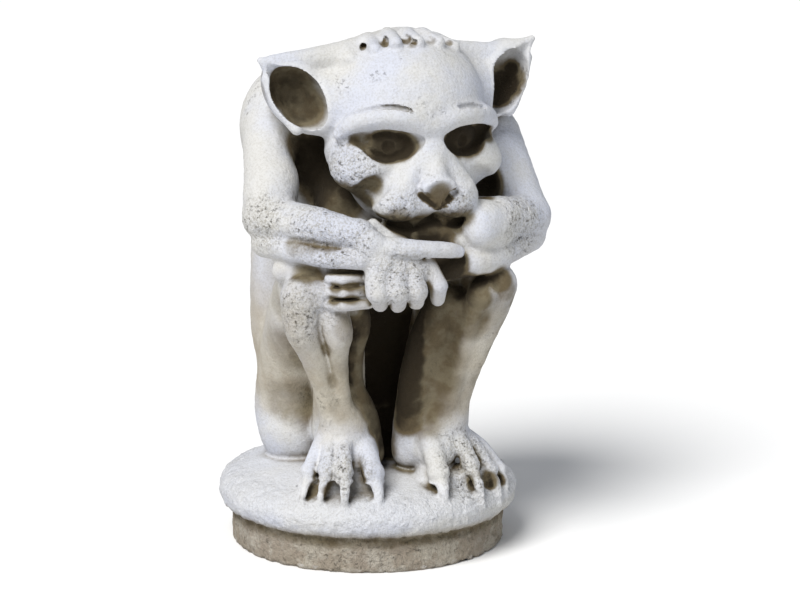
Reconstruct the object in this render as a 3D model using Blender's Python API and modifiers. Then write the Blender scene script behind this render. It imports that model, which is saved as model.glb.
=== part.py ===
"""Gargoyle statue cast in one with its round plinth.

A squatting, hunched beast with its arms crossed on its knees and its chin on its wrists.
The figure faces -Y, +X is its left side, and the origin is the middle of the underside.
Run with blender --background --python part.py, or from the text editor.
"""
import math

import bmesh
import bpy
from mathutils import Euler, Matrix, Vector

# Driving dimensions, in metres
FIGURE_HEIGHT = 0.338          # from the level the toes stand on to the top of the hair
SLAB_CROWN_HEIGHT = 0.064      # top of the cushion-shaped slab above the underside
SLAB_WIDEST_HEIGHT = 0.038     # level of the slab's widest girth
SLAB_LIP_HEIGHT = 0.025        # level of the slab's lower lip
SLAB_MARGIN = 0.011            # slab beyond the reach of the longest claw
LIP_RADIUS = 0.013             # rounding under the slab's rim
DRUM_OVERHANG = 0.010          # slab beyond the drum
DRUM_EDGE = 0.0015             # worn edge round the underside
STANCE_DEPTH = 0.016           # how far the toes stand below the slab's crown
FIGURE_OFFSET_X = 0.006        # figure's middle beside the middle of the plinth

# Fineness of the forms
VOXELS_PER_HEIGHT = 135
FORM_TRIANGLES = 7400
TURNED_STEPS = 72
CUSHION_POWER = 2.6            # 2 is an ellipse, larger is squarer
CUSHION_RINGS = 9

# The figure's own proportions: its sizes are parts of this master height
MASTER_HEIGHT = 338.0
UNIT = FIGURE_HEIGHT / MASTER_HEIGHT
CLAW_REACH = 100.0
MID = -2.0                     # middle plane of the legs
HEAD_PLACE = (7.5, -50.0, 264.0)
HEAD_TURN = 6.0                # degrees, towards the figure's left
HEAD_LEAN = -1.1               # degrees, the left ear higher than the right
EAR_SLANT = 41.0               # degrees, an ear's long axis outwards from upright
EAR_FLARE = 27.0               # degrees, an ear's bowl outwards from facing forwards
EAR_WEB_HEIGHT = 55.0          # middle of the web between ear and crown, above the head's middle

SLAB_RADIUS = CLAW_REACH * UNIT + SLAB_MARGIN
DRUM_RADIUS = SLAB_RADIUS - DRUM_OVERHANG
STANCE_HEIGHT = SLAB_CROWN_HEIGHT - STANCE_DEPTH

STONE_COLOUR = (0.60, 0.60, 0.57, 1.0)
STONE_ROUGHNESS = 0.92


def clear_scene():
    for item in list(bpy.data.objects):
        bpy.data.objects.remove(item, do_unlink=True)


def new_collection(name):
    collection = bpy.data.collections.new(name)
    bpy.context.scene.collection.children.link(collection)
    return collection


def unit_ball():
    shape = bmesh.new()
    bmesh.ops.create_uvsphere(shape, u_segments=28, v_segments=18, radius=1.0)
    mesh = bpy.data.meshes.new("ball")
    shape.to_mesh(mesh)
    shape.free()
    return mesh


class Clay:
    """Overlapping masses and limbs, gathered before they are fused into one skin."""

    def __init__(self, frame):
        self.frame = frame
        self.masses = bmesh.new()
        self.ball = unit_ball()
        self.limbs = bpy.data.curves.new("limbs", "CURVE")
        self.limbs.dimensions = "3D"
        self.limbs.bevel_depth = 1.0
        self.limbs.bevel_resolution = 4
        self.limbs.use_fill_caps = True
        self.limbs.resolution_u = 5

    def mass(self, centre, radii, turn=(0, 0, 0)):
        """An ellipsoid, turned about X, Y and Z by degrees."""
        angles = Euler([math.radians(a) for a in turn])
        place = Matrix.LocRotScale(Vector(centre), angles, Vector(radii))
        ball = self.ball.copy()
        ball.transform(self.frame @ place)
        self.masses.from_mesh(ball)

    def limb(self, points, radii):
        """A tapering round limb through a few points, with ball ends."""
        scale = self.frame.median_scale
        spline = self.limbs.splines.new("BEZIER")
        spline.bezier_points.add(len(points) - 1)
        for knot, point, radius in zip(spline.bezier_points, points, radii):
            knot.co = self.frame @ Vector(point)
            knot.radius = radius * scale
            knot.handle_left_type = "AUTO"
            knot.handle_right_type = "AUTO"
        for end, radius in ((points[0], radii[0]), (points[-1], radii[-1])):
            self.mass(end, (radius, radius, radius))

    def mesh(self, name):
        """One mesh of every mass and limb, still overlapping."""
        tubes = bpy.data.objects.new("tubes", self.limbs)
        bpy.context.scene.collection.objects.link(tubes)
        bpy.context.view_layer.update()
        evaluated = tubes.evaluated_get(bpy.context.evaluated_depsgraph_get())
        tube_mesh = bpy.data.meshes.new_from_object(evaluated)
        self.masses.from_mesh(tube_mesh)
        bmesh.ops.remove_doubles(self.masses, verts=self.masses.verts, dist=0.00002)
        result = bpy.data.meshes.new(name)
        self.masses.to_mesh(result)
        self.masses.free()
        bpy.data.objects.remove(tubes)
        return result


def body_frame():
    place = Vector((FIGURE_OFFSET_X, 0.0, STANCE_HEIGHT))
    return Matrix.LocRotScale(place, None, Vector((UNIT, UNIT, UNIT)))


def head_frame():
    turn = Euler((0.0, math.radians(HEAD_LEAN), math.radians(HEAD_TURN)))
    return body_frame() @ Matrix.LocRotScale(Vector(HEAD_PLACE), turn, None)


def add_trunk(clay):
    clay.mass((MID, 46, 50), (66, 44, 48))
    clay.mass((MID, 36, 116), (84, 50, 92))
    clay.mass((2, 32, 214), (82, 52, 84), (12, 0, 0))
    clay.mass((MID, 36, 165), (78, 50, 60))
    clay.mass((-52, 24, 38), (32, 34, 38))
    clay.mass((46, 24, 36), (28, 34, 34))
    clay.mass((0, 22, 60), (42, 34, 60))
    clay.mass((2, 12, 150), (54, 34, 66))
    clay.mass((4, -24, 205), (56, 38, 40))
    clay.mass((76, -24, 216), (26, 30, 42))
    clay.mass((2, -50, 177), (64, 36, 27))
    clay.limb([(-32, -30, 50), (-39, -43, 108), (-42, -50, 150)], [17, 18, 20])
    clay.limb([(27, -30, 50), (31, -42, 108), (37, -50, 150)], [17, 18, 20])
    clay.limb([(4, 10, 240), (8, -28, 254)], [50, 44])
    clay.mass((-63, 12, 262), (36, 34, 46))
    clay.mass((72, 10, 248), (37, 34, 44))


def add_thighs(clay):
    for side in (-1, 1):
        clay.limb([(MID + side * 48, 34, 52), (MID + side * 53, 4, 98), (MID + side * 62, -36, 146),
                   (MID + side * 66, -66, 157)], [33, 31, 24, 19])
        clay.limb([(MID + side * 34, -20, 40), (MID + side * 38, -32, 84), (MID + side * 46, -46, 124)],
                  [18, 16, 13])
        clay.mass((MID + side * 66, -78, 157), (18, 18, 17))


def add_shins(clay):
    """Shin, its inner ridge and the calf of each leg; the left calf is the broader."""
    clay.limb([(-79, -82, 156), (-77.5, -80, 134), (-69, -74, 115), (-58, -66, 87), (-50, -60, 64)],
              [15, 13.5, 11, 9, 9])
    clay.limb([(-58, -82, 148), (-53, -86, 130), (-51, -80, 114), (-46, -70, 87), (-42, -62, 64)],
              [12, 11.5, 8.5, 6.5, 8])
    clay.limb([(-38, -72, 146), (-33, -68, 130), (-36, -61, 110), (-34, -54, 82), (-25, -48, 56), (-20, -44, 28)],
              [11, 10, 10, 10, 13, 14])
    clay.limb([(67, -82, 156), (64, -80, 142), (58, -74, 122), (54, -69, 107), (49, -61, 86), (44, -54, 62)],
              [16, 14.5, 13, 12.5, 11.5, 11])
    clay.limb([(54, -90, 152), (49, -85, 138), (44, -76, 107), (37, -65, 70)], [12, 9, 7, 8])
    clay.limb([(30, -72, 144), (22, -66, 120), (19, -58, 100), (16, -52, 75), (14, -48, 50), (14, -46, 28)],
              [13, 14, 14, 14, 14, 15])
    clay.limb([(44, -72, 140), (37, -63, 108), (32, -56, 76)], [13, 12.5, 12])


RIGHT_TOES = (
    ((-54, -54, 42), (-71, -72, 25), (-78, -75, 2), 5.8),
    ((-50, -58, 44), (-60, -80, 27), (-67, -83, 2), 6.1),
    ((-42, -60, 44), (-48.5, -87, 26), (-51, -95, 1), 6.8),
    ((-28, -56, 38), (-27, -87, 24), (-24.5, -97, 2), 8.2),
)
LEFT_TOES = (
    ((22, -58, 42), (22.5, -86, 20), (24.5, -99, 0), 8.4),
    ((42, -58, 42), (50, -76, 22), (55, -92, -3), 7.0),
    ((50, -54, 38), (68, -67, 14), (72, -79, -6), 6.2),
    ((55, -46, 34), (78, -57, 11), (82, -66, -5), 6.0),
)


def add_foot(clay, side, toes):
    clay.mass((MID + side * 38, -54, 46), (19, 18, 24), (25, 0, 0))
    clay.mass((MID + side * 34, -38, 24), (18, 26, 18))
    clay.mass((MID + side * 30, -60, 32), (17, 20, 15), (20, 0, 0))
    for base, knuckle, tip, thickness in toes:
        base, knuckle, tip = Vector(base), Vector(knuckle), Vector(tip)
        arch = (base + knuckle) / 2 + Vector((0, -1, 4))
        clay.limb([base, arch, knuckle], [thickness + 2, thickness, thickness])
        bend = knuckle * 0.45 + tip * 0.55 + Vector((0, -3, 1.5))
        clay.limb([knuckle + Vector((0, -2, -2)), bend, tip + Vector((0, 0, -3))],
                  [thickness * 0.76, thickness * 0.62, thickness * 0.38])


def add_toe_beds(clay):
    """Stone left standing behind the claws."""
    clay.mass((-56, -64, 8), (21, 15, 19))
    clay.mass((-30, -66, 8), (13, 14, 20))
    clay.mass((50, -65, 4), (33, 14, 17), (0, 0, 30))
    clay.mass((22, -66, 6), (12, 16, 18))


def add_arms(clay):
    clay.limb([(-77, -2, 262), (-86, -22, 243), (-88, -36, 228), (-93, -46, 208)], [24, 19, 20.5, 19])
    clay.limb([(-93, -46, 207), (-80, -66, 207), (-64, -84, 206.5), (-47, -100, 204), (-34, -110, 198)],
              [17, 15, 13.5, 11, 9.5])
    clay.limb([(-95, -49, 190), (-78, -79, 188), (-62, -93, 186), (-42, -107, 186)], [12, 9, 8.5, 8])
    clay.mass((-42, -104, 207), (10, 8, 8))
    clay.limb([(86, -4, 248), (94, -26, 222), (99, -50, 198)], [25, 21, 19])
    clay.limb([(100, -52, 200), (84, -66, 201), (66, -80, 204), (49, -95, 200)], [17, 16.5, 16, 14])
    clay.mass((60, -66, 204), (22, 18, 15))
    clay.limb([(12, -90, 190), (30, -92, 190), (48, -90, 190)], [11, 10, 10])
    clay.limb([(100, -54, 186), (80, -74, 181), (60, -90, 177), (40, -98, 177), (12, -92, 172), (-24, -94, 166)],
              [14, 11, 10.5, 10.5, 11, 11])


def add_hands(clay):
    """The right hand over the left forearm, and the left hand's fingers round the right knee."""
    clay.limb([(-36, -108, 194), (-26, -110, 184)], [10, 10])
    clay.mass((-14, -108, 176), (25, 11, 15), (8, 0, 0))
    clay.limb([(-27, -110, 181), (-31.5, -112, 172), (-32.5, -115, 163)], [9, 8, 8])
    clay.limb([(-30, -111, 195), (0, -116, 193), (20, -113, 190.5), (29, -110, 188)], [8.5, 6.6, 6.2, 5.4])
    curled = (
        ((-31, -108, 180), (-31.5, -117, 163), (-29, -112, 154), 8.0),
        ((-19, -110, 180), (-17.5, -120, 163), (-16, -113, 153), 8.0),
        ((-6, -110, 180), (-3.5, -119, 163), (-2.5, -112, 154), 7.8),
        ((7, -107, 180), (14, -112, 165), (15.5, -106, 154), 7.4),
    )
    for root, knuckle, tip, thickness in curled:
        clay.limb([root, knuckle], [thickness, thickness])
        clay.limb([knuckle, tip], [thickness, thickness * 0.78])
    clay.mass((-34, -92, 163), (16, 9, 17))
    clay.mass((-50, -93, 161), (13, 7, 15))
    clay.limb([(-86, -62, 171), (-64, -76, 175), (-44, -88, 173)], [9, 9, 9])
    for level in (170.5, 161, 151.5):
        clay.limb([(-61, -94, level), (-53, -101, level + 0.5), (-36, -101, level + 1)], [4.2, 4.5, 4.4])


def add_head(clay):
    clay.mass((0, 2, 24), (58, 58, 50))
    clay.mass((0, -4, -8), (62, 45, 40))
    clay.mass((0, -14, -36), (44, 34, 28))
    clay.limb([(0, -44, 16), (0, -46, 3), (0, -52, -10), (0, -58, -21)], [8, 7.5, 8.5, 9])
    clay.mass((0, -33, -63), (36, 20, 15))
    for side in (-1, 1):
        low = side + 1
        clay.limb([(6 * side, -51, 14), (20 * side, -51, 21 - low), (36 * side, -44, 22 - 2 * low),
                   (50 * side, -33, 18 - 2 * low), (59 * side, -22, 8 - low)], [6, 8, 8.5, 8, 5])
        clay.mass((40 * side, -23, -18), (25, 22, 18))
        clay.limb([(5 * side, -48, -6), (14 * side, -48, -20), (20 * side, -47, -32)], [8, 10, 13])
        clay.mass((9 * side, -50, -40), (12, 12, 13))
    clay.mass((-22.5, -44, -39.5), (22, 19, 15.5))
    clay.mass((18, -45, -40), (19, 18, 16))
    clay.mass((0, -65, -32), (16, 8, 9))


def add_hair(clay):
    """A low cap over the crown whose front edge ends in a row of short locks."""
    clay.mass((0, 10, 26), (52, 46, 50))
    for x, y, height in ((-42, -5, 57), (-28, -15, 65), (-15, -22, 69.5), (1, -25, 69.5), (18, -22, 67.5),
                         (33, -14, 62)):
        clay.limb([(x * 0.8, y + 22, height + 2), (x, y - 1, height)], [7, 5.6])


def add_ears(clay):
    """Dished pointed ears that face forwards and a little outwards."""
    for side in (-1, 1):
        web = EAR_WEB_HEIGHT - side * 3
        clay.limb([(28 * side, 8, web - 1), (54 * side, 9, web), (78 * side, 9, web + 0.5), (104.5 * side, 10, 60)],
                  [15, 10, 7, 3])
        clay.mass((78 * side, 11, 32), (23, 20, 33), (0, EAR_SLANT * side, EAR_FLARE * side))
        clay.limb([(84 * side, 9, 40), (104.5 * side, 10, 59.5)], [15, 3])
        clay.limb([(103 * side, 9, 46), (97 * side, 7, 26), (85 * side, 1, 11)], [4, 5, 6])
        clay.mass((52 * side, 6, 26), (22, 24, 24))


def carve_head(cutter):
    """Ear bowls, eye sockets, nostrils, mouth and the hollows beside the muzzle."""
    for side in (-1, 1):
        cutter.mass((82 * side, 2, 32), (18.5, 19, 26), (0, EAR_SLANT * side, EAR_FLARE * side))
        cutter.limb([(84 * side, 0, 38), (99 * side, 3, 54)], [12, 4])
        cutter.limb([(9 * side, -55, 4), (22 * side, -48, 1.5), (36 * side, -41, 1), (52 * side, -30, 5)],
                    [3, 13, 13, 4.5])
        cutter.limb([(33 * side, -51, -19), (44 * side, -44, -30), (55 * side, -29, -44)], [3, 7, 10])
        cutter.limb([(15 * side, -66, -35), (3 * side, -68, -44)], [3, 3])
        cutter.limb([(0, -62, -54), (12 * side, -59, -57), (26 * side, -52, -58), (39 * side, -40, -53)],
                    [3, 3.4, 3.4, 2.6])


def add_eyes(clay):
    for side in (-1, 1):
        clay.mass((26 * side, -31, 0), (17.5, 10, 12.5), (0, 0, 22 * side))


def stone():
    material = bpy.data.materials.new("cast_stone")
    material.use_nodes = True
    shader = material.node_tree.nodes["Principled BSDF"]
    shader.inputs["Base Color"].default_value = STONE_COLOUR
    shader.inputs["Roughness"].default_value = STONE_ROUGHNESS
    shader.inputs["Metallic"].default_value = 0.0
    return material


def helper_object(name, mesh, collection):
    """An object the model is cut or joined with, left out of the result itself."""
    item = bpy.data.objects.new(name, mesh)
    item.hide_render = True
    item.display_type = "WIRE"
    collection.objects.link(item)
    return item


def fuse(item, voxel_size, smoothing):
    """Turn overlapping forms into one skin and soften the seams between them."""
    remesh = item.modifiers.new("fuse", "REMESH")
    remesh.mode = "VOXEL"
    remesh.voxel_size = voxel_size
    soften = item.modifiers.new("soften", "SMOOTH")
    soften.factor = 0.5
    soften.iterations = smoothing


def settled_mesh(item):
    """The object's mesh with its modifiers applied; the object keeps it too."""
    bpy.context.view_layer.update()
    evaluated = item.evaluated_get(bpy.context.evaluated_depsgraph_get())
    mesh = bpy.data.meshes.new_from_object(evaluated)
    item.modifiers.clear()
    item.data = mesh
    return mesh


def triangle_count(mesh):
    mesh.calc_loop_triangles()
    return len(mesh.loop_triangles)


def joined(name, meshes):
    gathered = bmesh.new()
    for mesh in meshes:
        gathered.from_mesh(mesh)
    result = bpy.data.meshes.new(name)
    gathered.to_mesh(result)
    gathered.free()
    return result


def model_figure(helpers):
    """The figure without its plinth: soft masses first, then the finer forms on them."""
    voxel = FIGURE_HEIGHT / VOXELS_PER_HEIGHT
    body = body_frame()
    head = head_frame()

    large = Clay(body)
    add_trunk(large)
    add_thighs(large)
    torso = helper_object("torso_form", large.mesh("torso_form"), helpers)
    fuse(torso, voxel * 1.3, 26)

    face = Clay(head)
    add_head(face)
    skull = helper_object("head_form", face.mesh("head_form"), helpers)
    fuse(skull, voxel * 1.1, 9)

    fine = Clay(body)
    add_shins(fine)
    add_arms(fine)
    add_hands(fine)
    add_foot(fine, -1, RIGHT_TOES)
    add_foot(fine, 1, LEFT_TOES)
    add_toe_beds(fine)
    trim = Clay(head)
    add_hair(trim)
    add_ears(trim)

    forms = [settled_mesh(torso), settled_mesh(skull), fine.mesh("limb_forms"), trim.mesh("head_trim")]
    rough = helper_object("rough_form", joined("rough_form", forms), helpers)
    fuse(rough, voxel, 3)
    settled_mesh(rough)

    hollows = Clay(head)
    carve_head(hollows)
    cutter = helper_object("carving_cutter", hollows.mesh("carving_cutter"), helpers)
    fuse(cutter, voxel * 0.9, 1)
    settled_mesh(cutter)
    carve = rough.modifiers.new("carve", "BOOLEAN")
    carve.operation = "DIFFERENCE"
    carve.solver = "MANIFOLD"
    carve.object = cutter

    eyes = Clay(head)
    add_eyes(eyes)
    carved = joined("figure_form", [settled_mesh(rough), eyes.mesh("eyes")])
    figure = helper_object("figure_form", carved, helpers)
    fuse(figure, voxel, 0)
    settled_mesh(figure)
    thin = figure.modifiers.new("facet", "DECIMATE")
    thin.ratio = FORM_TRIANGLES / triangle_count(figure.data)
    thin.use_collapse_triangulate = True
    settled_mesh(figure)
    return figure


def plinth_profile():
    """Outer side of the plinth from the crown down to the underside, as (radius, height)."""
    points = [(0.0, SLAB_CROWN_HEIGHT)]
    rise = SLAB_CROWN_HEIGHT - SLAB_WIDEST_HEIGHT
    for ring in range(1, CUSHION_RINGS + 1):
        angle = math.pi / 2 * ring / CUSHION_RINGS
        radius = SLAB_RADIUS * max(math.sin(angle), 0.0) ** (2 / CUSHION_POWER)
        height = SLAB_WIDEST_HEIGHT + rise * max(math.cos(angle), 0.0) ** (2 / CUSHION_POWER)
        points.append((radius, height))
    drop = SLAB_WIDEST_HEIGHT - SLAB_LIP_HEIGHT
    lip_steps = 4
    for step in range(1, lip_steps + 1):
        angle = math.pi / 2 * step / lip_steps
        radius = SLAB_RADIUS - LIP_RADIUS + LIP_RADIUS * math.cos(angle)
        height = SLAB_WIDEST_HEIGHT - drop * math.sin(angle)
        if radius > DRUM_RADIUS:
            points.append((radius, height))
    neck_height = SLAB_LIP_HEIGHT
    points.append((DRUM_RADIUS, neck_height))
    points.append((DRUM_RADIUS, DRUM_EDGE))
    points.append((DRUM_RADIUS - DRUM_EDGE, 0.0))
    points.append((0.0, 0.0))
    return points


def model_statue(figure, collection):
    """The turned plinth, joined with the figure that is cast on it."""
    mesh = bpy.data.meshes.new("gargoyle_statue")
    outline = bmesh.new()
    ring = [outline.verts.new((radius, 0.0, height)) for radius, height in plinth_profile()]
    for upper, lower in zip(ring, ring[1:]):
        outline.edges.new((upper, lower))
    outline.to_mesh(mesh)
    outline.free()
    statue = bpy.data.objects.new("gargoyle_statue", mesh)
    collection.objects.link(statue)

    turn = statue.modifiers.new("turn", "SCREW")
    turn.axis = "Z"
    turn.angle = math.tau
    turn.steps = TURNED_STEPS
    turn.render_steps = TURNED_STEPS
    turn.use_merge_vertices = True
    turn.merge_threshold = 0.00001
    cast = statue.modifiers.new("cast_together", "BOOLEAN")
    cast.operation = "UNION"
    cast.object = figure
    mesh.materials.append(stone())
    return statue


def main():
    clear_scene()
    part = new_collection("gargoyle_statue")
    helpers = new_collection("forms_and_cutters")
    figure = model_figure(helpers)
    model_statue(figure, part)


main()
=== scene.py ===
"""Looks of the gargoyle statue: the weathered cast stone figure on its round plinth.

The figure is modelled as a field of distances in millimetres: masses, limbs and hollows are blended into
one skin, the skin is netted and grained, and one stone material is worn and stained, and darkened in its
hollows with painted shade.
"""
import math

import bpy
import numpy as np
from mathutils import Matrix, Vector


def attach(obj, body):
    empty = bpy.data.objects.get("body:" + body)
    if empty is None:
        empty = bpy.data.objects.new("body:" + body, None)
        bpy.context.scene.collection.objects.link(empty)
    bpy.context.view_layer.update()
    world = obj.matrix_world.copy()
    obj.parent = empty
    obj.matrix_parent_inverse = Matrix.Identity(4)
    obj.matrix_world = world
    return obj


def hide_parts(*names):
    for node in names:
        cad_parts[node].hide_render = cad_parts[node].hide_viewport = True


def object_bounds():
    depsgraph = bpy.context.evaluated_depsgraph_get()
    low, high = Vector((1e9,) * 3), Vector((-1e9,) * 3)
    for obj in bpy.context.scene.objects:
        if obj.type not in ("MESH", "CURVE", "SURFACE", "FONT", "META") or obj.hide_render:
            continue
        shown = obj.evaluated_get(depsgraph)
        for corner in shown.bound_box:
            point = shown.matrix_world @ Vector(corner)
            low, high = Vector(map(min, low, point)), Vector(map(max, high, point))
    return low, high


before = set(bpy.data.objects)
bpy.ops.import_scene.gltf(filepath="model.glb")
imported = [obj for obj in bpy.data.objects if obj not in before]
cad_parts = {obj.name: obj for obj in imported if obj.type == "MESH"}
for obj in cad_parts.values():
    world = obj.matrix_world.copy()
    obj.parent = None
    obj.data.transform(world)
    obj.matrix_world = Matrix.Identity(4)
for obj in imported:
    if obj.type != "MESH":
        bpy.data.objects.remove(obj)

CAD_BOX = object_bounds()

# Sizes shared with the solid, in millimetres
SLAB_CROWN_HEIGHT = 64.0
SLAB_WIDEST_HEIGHT = 38.0
SLAB_LIP_HEIGHT = 25.0
SLAB_MARGIN = 11.0
LIP_RADIUS = 13.0
DRUM_OVERHANG = 10.0
DRUM_EDGE = 1.5
STANCE_DEPTH = 16.0
FIGURE_OFFSET_X = 6.0
CUSHION_POWER = 2.6
CLAW_REACH = 100.0
MID = -2.0
HEAD_PLACE = (7.5, -50.0, 264.0)
HEAD_TURN = 6.0
HEAD_LEAN = -1.1
EAR_SLANT = 41.0
EAR_FLARE = 27.0
EAR_WEB_HEIGHT = 55.0

SLAB_RADIUS = CLAW_REACH + SLAB_MARGIN
DRUM_RADIUS = SLAB_RADIUS - DRUM_OVERHANG
STANCE_HEIGHT = SLAB_CROWN_HEIGHT - STANCE_DEPTH

GRID_STEP = 1.3
PIECE_TRIANGLES = 190000
MM = 0.001

# Rays towards the sky and the sides that measure shelter, and the distances looked at along each
SHELTER_RAYS = 34
SHELTER_REACHES = (2.5, 5, 8, 12, 17, 23, 30, 39, 50, 64)

# Colours of the stone, its browner lower parts, and its dirt and painted shade
STONE_COOL = (0.54, 0.56, 0.63)
STONE_WARM = (0.57, 0.565, 0.55)
STONE_RUBBED = (0.66, 0.66, 0.66)
SLAB_WHITE = (0.62, 0.63, 0.66)
LOW_BROWN_DARK = (0.34, 0.29, 0.21)
LOW_BROWN_PALE = (0.45, 0.41, 0.33)
DRUM_DARK = (0.26, 0.205, 0.135)
DRUM_PALE = (0.39, 0.345, 0.27)
GRAIN_SPECK = (0.26, 0.235, 0.185)
DIRT_AND_SHADE_DARK = (0.115, 0.088, 0.050)
DIRT_AND_SHADE_PALE = (0.165, 0.138, 0.088)
DIRT_AND_DEEP_SHADE = (0.030, 0.022, 0.012)
PIT_DIRT_AND_SHADE = (0.10, 0.085, 0.06)

# Heights in metres over which a colour comes in, as (none, full)
LOW_BROWN_TOP = (0.255, 0.13)
LOW_BROWN_FOOT = (0.085, 0.118)
SLAB_LOWER = (0.036, 0.042)
SLAB_UPPER = (0.066, 0.060)
DRUM_UPPER = (0.034, 0.024)
# The band of painted shadow under the slab's lip
LIP_SHADOW_TOP = (0.030, 0.026)
LIP_SHADOW_FOOT = (0.013, 0.022)

# The picture, in metres and degrees
CAMERA_EYE = (-0.689093, -2.403154, 0.740)
CAMERA_AIM = (0.0, 0.0, 0.200)
CAMERA_LENS = 156.0
CAMERA_SHIFT = (0.0406, -0.0339)
KEY_TOWARDS = (-0.62, -0.62, 0.95)
KEY_STRENGTH = 3.75
KEY_WIDTH = 30
KEY_COLOUR = (1.0, 0.99, 0.97)
FILL_PLACE = (1.8, -1.0, 0.7)
FILL_POWER = 3
FILL_SIZE = 1.4
FILL_COLOUR = (0.74, 0.86, 1.0)
SKY_COLOUR = (0.92, 0.95, 1.0, 1.0)
SKY_STRENGTH = 0.32
FLOOR_COLOUR = (0.92, 0.92, 0.92, 1.0)
FLOOR_HALF = 8.0
FLOOR_DROP = 0.0004


# The field of distances
def turning(x, y, z):
    """Rotation by degrees about X, then Y, then Z."""
    a, b, c = (math.radians(v) for v in (x, y, z))
    about_x = np.array([[1, 0, 0], [0, math.cos(a), -math.sin(a)], [0, math.sin(a), math.cos(a)]])
    about_y = np.array([[math.cos(b), 0, math.sin(b)], [0, 1, 0], [-math.sin(b), 0, math.cos(b)]])
    about_z = np.array([[math.cos(c), -math.sin(c), 0], [math.sin(c), math.cos(c), 0], [0, 0, 1]])
    return about_z @ about_y @ about_x


def softened(points, radii, steps=4):
    """Points and radii along a smooth line through the given ones."""
    knots = np.column_stack([np.array(points, float), np.array(radii, float)])
    if len(knots) == 2:
        return knots
    ends = np.vstack([2 * knots[0] - knots[1], knots, 2 * knots[-1] - knots[-2]])
    line = []
    for a, b, c, d in zip(ends, ends[1:], ends[2:], ends[3:]):
        for t in np.arange(steps) / steps:
            line.append(0.5 * (2 * b + (c - a) * t + (2 * a - 5 * b + 4 * c - d) * t ** 2
                               + (3 * b - 3 * c + d - a) * t ** 3))
    line.append(knots[-1])
    line = np.array(line)
    line[:, 3] = np.maximum(line[:, 3], 0.6 * min(radii))
    return line


class Clay:
    """A box of distances to the skin, negative inside, built up and cut into."""

    def __init__(self, low, high, step):
        self.low = np.array(low, float)
        self.step = step
        self.count = np.ceil((np.array(high, float) - self.low) / step).astype(int) + 1
        self.axes = [(self.low[i] + step * np.arange(self.count[i])).astype(np.float32) for i in range(3)]
        self.field = np.full(self.count, 1000.0, np.float32)
        self.place(np.eye(3), np.zeros(3))
        self.blend = 4.0
        self.cutting = False

    def place(self, turned, moved):
        self.turned = np.array(turned, float)
        self.moved = np.array(moved, float)

    def window(self, low, high, margin):
        spans = []
        for i in range(3):
            first = int(math.floor((low[i] - margin - self.low[i]) / self.step))
            last = int(math.ceil((high[i] + margin - self.low[i]) / self.step)) + 1
            spans.append(slice(max(first, 0), max(min(last, int(self.count[i])), 0)))
        return tuple(spans)

    def merge(self, spans, distance, blend):
        old = self.field[spans]
        if self.cutting:
            distance = -distance
        overlap = np.maximum(blend - np.abs(distance - old), 0) / blend
        bulge = overlap * overlap * blend * 0.25
        if self.cutting:
            self.field[spans] = np.maximum(distance, old) + bulge
        else:
            self.field[spans] = np.minimum(distance, old) - bulge

    def grid(self, spans):
        return (self.axes[0][spans[0]][:, None, None], self.axes[1][spans[1]][None, :, None],
                self.axes[2][spans[2]][None, None, :])

    def mass(self, centre, radii, turn=(0, 0, 0), blend=None):
        """An ellipsoid, turned about X, Y and Z by degrees."""
        blend = self.blend if blend is None else blend
        middle = self.turned @ np.array(centre, float) + self.moved
        radii = np.array(radii, float)
        own = self.turned @ turning(*turn)
        reach = np.sqrt(((own * radii) ** 2).sum(1))
        spans = self.window(middle - reach, middle + reach, blend + 3 * self.step)
        x, y, z = self.grid(spans)
        away = [x - middle[0], y - middle[1], z - middle[2]]
        local = [own[0, i] * away[0] + own[1, i] * away[1] + own[2, i] * away[2] for i in range(3)]
        size = np.sqrt(sum((local[i] / radii[i]) ** 2 for i in range(3)))
        slope = np.sqrt(sum((local[i] / radii[i] ** 2) ** 2 for i in range(3)))
        self.merge(spans, size * (size - 1) / np.maximum(slope, 1e-6), blend)

    def limb(self, points, radii, blend=None):
        """A tapering round limb through a few points, with ball ends."""
        blend = self.blend if blend is None else blend
        line = softened(points, radii)
        middles = line[:, :3] @ self.turned.T + self.moved
        widths = line[:, 3]
        low = (middles - widths[:, None]).min(0)
        high = (middles + widths[:, None]).max(0)
        spans = self.window(low, high, blend + 3 * self.step)
        x, y, z = self.grid(spans)
        nearest = None
        for a, b, wide_a, wide_b in zip(middles, middles[1:], widths, widths[1:]):
            along = b - a
            length = max(float(along @ along), 1e-9)
            px, py, pz = x - a[0], y - a[1], z - a[2]
            t = np.clip((px * along[0] + py * along[1] + pz * along[2]) / length, 0, 1)
            gap = np.sqrt((px - t * along[0]) ** 2 + (py - t * along[1]) ** 2 + (pz - t * along[2]) ** 2)
            gap -= wide_a + (wide_b - wide_a) * t
            nearest = gap if nearest is None else np.minimum(nearest, gap)
        self.merge(spans, nearest.astype(np.float32), blend)

    def solid_at(self, points):
        """Whether each point is inside the skin."""
        cell = np.rint((points - self.low) / self.step).astype(np.int32)
        inside = ((cell >= 0) & (cell < self.count)).all(1)
        cell = np.clip(cell, 0, self.count - 1)
        return inside & (self.field[cell[:, 0], cell[:, 1], cell[:, 2]] < 0)

    def sample(self, points):
        """The field at any points, in between the grid's own."""
        where = (points - self.low) / self.step
        cell = np.clip(np.floor(where).astype(int), 0, self.count - 2)
        part = np.clip(where - cell, 0, 1)
        total = np.zeros(len(points))
        for corner in range(8):
            step = np.array([corner & 1, corner >> 1 & 1, corner >> 2 & 1])
            weight = np.prod(np.where(step, part, 1 - part), axis=1)
            total += weight * self.field[tuple((cell + step).T)]
        return total


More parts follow.
